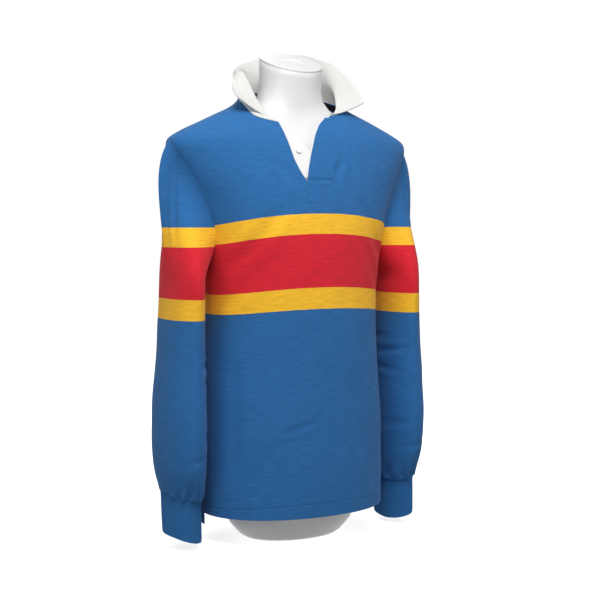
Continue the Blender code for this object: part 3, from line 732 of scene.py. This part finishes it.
def jersey(name, bands, stitches=(), base=BLUE):
    n = Nodes(name)
    vector, wale, course = cloth_places(n)
    # The edge of a knitted band wanders by less than a course.
    wander = n.math("MULTIPLY", n.math("SUBTRACT", n.noise(vector, 60.0), 0.5), 0.0012)
    height = n.math("ADD", course, wander)
    colour = base
    if bands:
        low, lower, upper, top = bands
        in_bands = n.math("MULTIPLY", n.math("GREATER_THAN", height, low), n.math("LESS_THAN", height, top))
        in_red = n.math("MULTIPLY", n.math("GREATER_THAN", height, lower), n.math("LESS_THAN", height, upper))
        colour = n.mix(in_bands, base, YELLOW)
        colour = n.mix(in_red, colour, RED)
    streaks = n.noise(vector, 1.0, 3.0, 0.6, (38.0, 420.0, 1.0))
    slub = n.noise(vector, 1.0, 4.0, 0.6, (110.0, 900.0, 1.0))
    heather = n.noise(vector, 1.0, 3.0, 0.6, (900.0, 1500.0, 1.0))
    broad = n.noise(vector, 9.0, 2.0)
    shade = n.math("ADD", n.math("MULTIPLY", n.math("SUBTRACT", slub, 0.5), 0.34), 1.0)
    shade = n.math("ADD", shade, n.math("MULTIPLY", n.math("SUBTRACT", streaks, 0.5), 0.66))
    shade = n.math("ADD", shade, n.math("MULTIPLY", n.math("SUBTRACT", heather, 0.5), 0.22))
    shade = n.math("ADD", shade, n.math("MULTIPLY", n.math("SUBTRACT", broad, 0.5), 0.08))
    for at, deep in stitches:
        away = n.math("ABSOLUTE", n.math("SUBTRACT", course, at))
        line = n.math("LESS_THAN", away, 0.0006)
        dash = n.math("GREATER_THAN", n.math("FRACT", n.math("MULTIPLY", wale, 330.0)), 0.35)
        shade = n.math("SUBTRACT", shade, n.math("MULTIPLY", n.math("MULTIPLY", line, dash), deep))
    grey = n.add("CombineColor")
    for socket in grey.inputs[:3]:
        n.link(shade, socket)
    colour = n.mix(1.0, colour, grey.outputs[0], "MULTIPLY")
    n.link(colour, n.shader.inputs["Base Color"])
    n.shader.inputs["Roughness"].default_value = 0.92
    n.shader.inputs["Specular IOR Level"].default_value = 0.18
    n.shader.inputs["Sheen Weight"].default_value = 0.06
    n.shader.inputs["Sheen Roughness"].default_value = 0.55
    knit = n.math("ADD", slub, n.math("MULTIPLY", heather, 0.8))
    for at, _ in stitches:
        away = n.math("ABSOLUTE", n.math("SUBTRACT", course, at))
        groove = n.math("MAXIMUM", n.math("SUBTRACT", 1.0, n.math("DIVIDE", away, 0.0016)), 0.0)
        knit = n.math("SUBTRACT", knit, n.math("MULTIPLY", groove, 1.6))
    n.bump(knit, 0.55, 0.0005)
    return n.made


def rib(name):
    n = Nodes(name)
    vector, wale, course = cloth_places(n)
    turns = n.math("MULTIPLY", wale, 2 * math.pi * 72 / 0.26)
    ribs = n.math("ADD", n.math("MULTIPLY", n.math("SINE", turns), 0.5), 0.5)
    slub = n.noise(vector, 1.0, 3.0, 0.6, (900.0, 700.0, 1.0))
    # Painted shade: the colour is darker in the troughs between the ribs and lighter on their tops; the slub
    # adds a random tone.
    shade = n.math("ADD", n.math("MULTIPLY", ribs, 0.16), n.math("ADD", 0.76, n.math("MULTIPLY", slub, 0.18)))
    grey = n.add("CombineColor")
    for socket in grey.inputs[:3]:
        n.link(shade, socket)
    n.link(n.mix(1.0, BLUE, grey.outputs[0], "MULTIPLY"), n.shader.inputs["Base Color"])
    n.shader.inputs["Roughness"].default_value = 0.92
    n.shader.inputs["Specular IOR Level"].default_value = 0.18
    n.shader.inputs["Sheen Weight"].default_value = 0.05
    n.bump(n.math("ADD", ribs, n.math("MULTIPLY", slub, 0.4)), 0.32, 0.0006)
    return n.made


def twill(name, colour=WHITE, stitch_from=None):
    n = Nodes(name)
    vector, across, up = cloth_places(n)
    pitch = 1400.0 * math.pi
    slant = n.math("ADD", n.math("MULTIPLY", across, pitch), n.math("MULTIPLY", up, pitch))
    ribs = n.math("ADD", n.math("MULTIPLY", n.math("SINE", slant), 0.5), 0.5)
    grain = n.noise(vector, 1500.0, 2.0)
    # Painted shade: the colour is darker in the twill's slanting troughs and lighter on its ridges; the grain
    # adds a random tone.
    shade = n.math("ADD", 0.95, n.math("MULTIPLY", n.math("ADD", ribs, grain), 0.045))
    height = n.math("ADD", ribs, n.math("MULTIPLY", grain, 0.5))
    if stitch_from is not None:
        away = n.math("ABSOLUTE", n.math("SUBTRACT", up, stitch_from))
        groove = n.math("MAXIMUM", n.math("SUBTRACT", 1.0, n.math("DIVIDE", away, 0.0009)), 0.0)
        height = n.math("SUBTRACT", height, n.math("MULTIPLY", groove, 3.0))
        # Painted shade: the colour is darkened along the stitch's groove.
        shade = n.math("SUBTRACT", shade, n.math("MULTIPLY", groove, 0.05))
    grey = n.add("CombineColor")
    for socket in grey.inputs[:3]:
        n.link(shade, socket)
    n.link(n.mix(1.0, colour, grey.outputs[0], "MULTIPLY"), n.shader.inputs["Base Color"])
    n.shader.inputs["Roughness"].default_value = 0.85
    n.shader.inputs["Specular IOR Level"].default_value = 0.25
    n.shader.inputs["Sheen Weight"].default_value = 0.05
    n.bump(height, 0.30, 0.0003)
    return n.made


def plastic(name, colour, roughness, grain, rounded=0.0):
    """Rounded is the radius over which the flats of a coarse solid are shaded as one curve."""
    n = Nodes(name)
    place = n.add("TexCoord").outputs["Object"]
    soft = n.noise(place, grain, 3.0)
    tone = n.math("ADD", 0.97, n.math("MULTIPLY", soft, 0.05))
    grey = n.add("CombineColor")
    for socket in grey.inputs[:3]:
        n.link(tone, socket)
    n.link(n.mix(1.0, colour, grey.outputs[0], "MULTIPLY"), n.shader.inputs["Base Color"])
    rough = n.math("ADD", roughness - 0.04, n.math("MULTIPLY", soft, 0.08))
    n.link(rough, n.shader.inputs["Roughness"])
    if rounded:
        curve = n.add("Bevel", samples=8)
        curve.inputs["Radius"].default_value = rounded
        n.link(curve.outputs[0], n.shader.inputs["Normal"])
    else:
        n.bump(soft, 0.05, 0.0004)
    return n.made


blue_front = jersey("jersey_front", BODY_BANDS, [(FRONT_HEM - 0.0090 + 0.024, 0.22)])
blue_back = jersey("jersey_back", BODY_BANDS, [(BACK_HEM + 0.020, 0.22)])
blue_sleeve = jersey("jersey_sleeve", SLEEVE_BANDS)
blue_plain = jersey("jersey_placket", None)
cuff_rib = rib("cuff_rib")
# The collar's white twill is painted a darker grey than the same twill on the placket: painted shade over the
# whole collar.
collar_twill = twill("collar_twill", (0.665, 0.670, 0.650), 0.069)
strip_twill = twill("placket_twill")
tape_weave = twill("tape_weave", (0.006, 0.008, 0.020))
form_white = plastic("form_white", (0.80, 0.80, 0.80), 0.34, 40.0, 0.020)
cap_white = plastic("cap_white", (0.76, 0.76, 0.76), 0.34, 40.0)
button_white = plastic("button_white", (0.86, 0.86, 0.84), 0.30, 400.0)

# ---- pieces --------------------------------------------------------------------------------------
front = shell("front_jersey", front_half(-1) + front_half(1), CLOTH, blue_front)
back = shell("back_jersey", back_half(-1) + back_half(1), CLOTH, blue_back)
sleeves = {side: shell(f"sleeve_{name}_jersey", [sleeve_rings(side)], CLOTH, blue_sleeve, True)
           for side, name in ((-1, "right"), (1, "left"))}
cuffs = {side: shell(f"cuff_{name}_rib", [cuff_rings(side)], CLOTH * 1.3, cuff_rib, True)
         for side, name in ((-1, "right"), (1, "left"))}
collar = shell("collar_twill", [collar_grid()], TWILL, collar_twill)
tape = shell(
    "neck_tape_weave",
    [
        (points - out * (CLOTH + TAPE_GAP), out, places)
        for side in (-1, 1)
        for points, out, places in neck_patches(side)
    ],
    TAPE_CLOTH, tape_weave,
)
heights = np.linspace(OVERLAP[0, 0], OVERLAP[-1, 0], 61)
# Below the slit the strip is sewn flat, and a crease is pressed across it where the slit ends.
STRIP_FLAT, STRIP_FLAT_FROM, STRIP_EASE = 0.0004, 0.618, 0.012
CREASE_AT, CREASE_DEPTH, CREASE_WIDTH = 0.629, 0.0022, 0.0020
foot = np.clip((heights - STRIP_FLAT_FROM) / STRIP_EASE, 0, 1)
overlap_lift = STRIP_FLAT + (CLOTH + GAP - STRIP_FLAT) * foot * foot * (3 - 2 * foot)
overlap_lift = overlap_lift - CREASE_DEPTH * np.exp(-(((heights - CREASE_AT) / CREASE_WIDTH) ** 2))
overlap = shell(
    "placket_overlap_jersey",
    [strip_grid(
        heights, smooth(OVERLAP, heights, 1), smooth(OVERLAP, heights, 2), overlap_lift[:, None, None]
    )],
    CLOTH, blue_plain,
)
heights = np.linspace(FACING_FOOT, FACING_TOP, 61)
free = smooth(OVERLAP, heights, 2)
facing = shell(
    "placket_facing_twill", [strip_grid(heights, free + FACING_HIDDEN, free - FACING_SHOWS, 0.0)],
    FACING_CLOTH, strip_twill,
)
heights = np.linspace(UNDERLAP[0, 0], UNDERLAP[-1, 0], 61)
underlap = shell(
    "placket_underlap_twill",
    [strip_grid(heights, smooth(UNDERLAP, heights, 1), smooth(UNDERLAP, heights, 2), -CLOTH - UNDER_GAP)],
    CLOTH, strip_twill,
)


def hold(piece, node):
    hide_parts(node)
    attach(piece, "root")


hold(front, "front")
hold(back, "back")
hold(sleeves[-1], "sleeve_right")
hold(sleeves[1], "sleeve_left")
hold(cuffs[-1], "cuff_right")
hold(cuffs[1], "cuff_left")
hold(collar, "collar")
hold(tape, "neck_tape")
hold(overlap, "placket_overlap")
hold(facing, "placket_facing")
hold(underlap, "placket_underlap")

for name, finish in (("form", form_white), ("neck_cap", cap_white), ("button", button_white)):
    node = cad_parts[name]
    node.data.materials.clear()
    node.data.materials.append(finish)

# ---- floor, lights, camera -----------------------------------------------------------------------
bpy.ops.mesh.primitive_plane_add(size=14, location=(0, 3.0, -0.0005))
floor = bpy.context.object
floor.name = "floor"
ground = Nodes("floor_white")
ground.shader.inputs["Base Color"].default_value = (0.90, 0.90, 0.90, 1.0)
ground.shader.inputs["Roughness"].default_value = 0.9
floor.data.materials.append(ground.made)
floor.visible_diffuse = False
# The floor's own lamp keeps it white; it lights nothing else, and the floor sends none of it on.
sun = bpy.data.lights.new("floor_sun", "SUN")
sun.energy = 3.0
sun.angle = math.radians(60)
only_floor = bpy.data.collections.new("floor_only")
only_floor.objects.link(floor)
sunny = bpy.data.objects.new("floor_sun", sun)
bpy.context.scene.collection.objects.link(sunny)
sunny.light_linking.receiver_collection = only_floor
sun.use_shadow = False


def area_light(name, at, aim, size, power, colour=(1.0, 1.0, 1.0)):
    light = bpy.data.lights.new(name, "AREA")
    light.shape = "RECTANGLE"
    light.size, light.size_y = size
    light.energy = power
    light.color = colour
    made = bpy.data.objects.new(name, light)
    bpy.context.scene.collection.objects.link(made)
    made.location = at
    made.rotation_euler = (Vector(aim) - Vector(at)).to_track_quat("-Z", "Y").to_euler()
    return made


area_light("key", (-0.5, -1.3, 2.3), (0, 0, 0.60), (1.0, 1.0), 40)
area_light("fill", (1.9, -2.0, 1.5), (0, 0, 0.45), (1.6, 1.6), 12)
area_light("top", (0.0, -0.2, 2.6), (0, 0, 0.5), (1.4, 1.4), 5)

area_light("left", (-2.4, -1.3, 1.3), (0, 0, 0.45), (1.4, 1.4), 15)
area_light("back", (0.5, 2.5, 1.8), (0, 0, 0.45), (1.6, 1.6), 16)

world = bpy.data.worlds.new("studio")
bpy.context.scene.world = world
world.use_nodes = True
# The camera sees a near-white sweep; the cloth is lit by a dimmer sky.
sky = world.node_tree
lit = sky.nodes["Background"]
lit.inputs[0].default_value = (1.0, 1.0, 1.0, 1.0)
lit.inputs[1].default_value = 0.25
seen = sky.nodes.new("ShaderNodeBackground")
seen.inputs[0].default_value = (1.0, 1.0, 1.0, 1.0)
seen.inputs[1].default_value = 1.0
ray = sky.nodes.new("ShaderNodeLightPath")
either = sky.nodes.new("ShaderNodeMixShader")
sky.links.new(ray.outputs["Is Camera Ray"], either.inputs[0])
sky.links.new(lit.outputs[0], either.inputs[1])
sky.links.new(seen.outputs[0], either.inputs[2])
sky.links.new(either.outputs[0], sky.nodes["World Output"].inputs[0])

AZIMUTH = math.radians(-28.0)
DISTANCE = 2.3
EYE = 0.565
LENS = 77.28  # mm, on a sensor 36 mm wide
PITCH_DOWN = math.radians(3.642796)
TURN_RIGHT = math.radians(0.444834)
camera_data = bpy.data.cameras.new("camera")
camera_data.sensor_width = 36.0
camera_data.lens = LENS
camera_data.clip_start, camera_data.clip_end = 0.05, 50.0
camera = bpy.data.objects.new("camera", camera_data)
bpy.context.scene.collection.objects.link(camera)
camera.location = (math.sin(AZIMUTH) * DISTANCE, -math.cos(AZIMUTH) * DISTANCE, EYE)
camera.rotation_euler = (math.pi / 2 - PITCH_DOWN, 0.0, AZIMUTH - TURN_RIGHT)
bpy.context.scene.camera = camera
bpy.context.scene.view_settings.view_transform = "Standard"
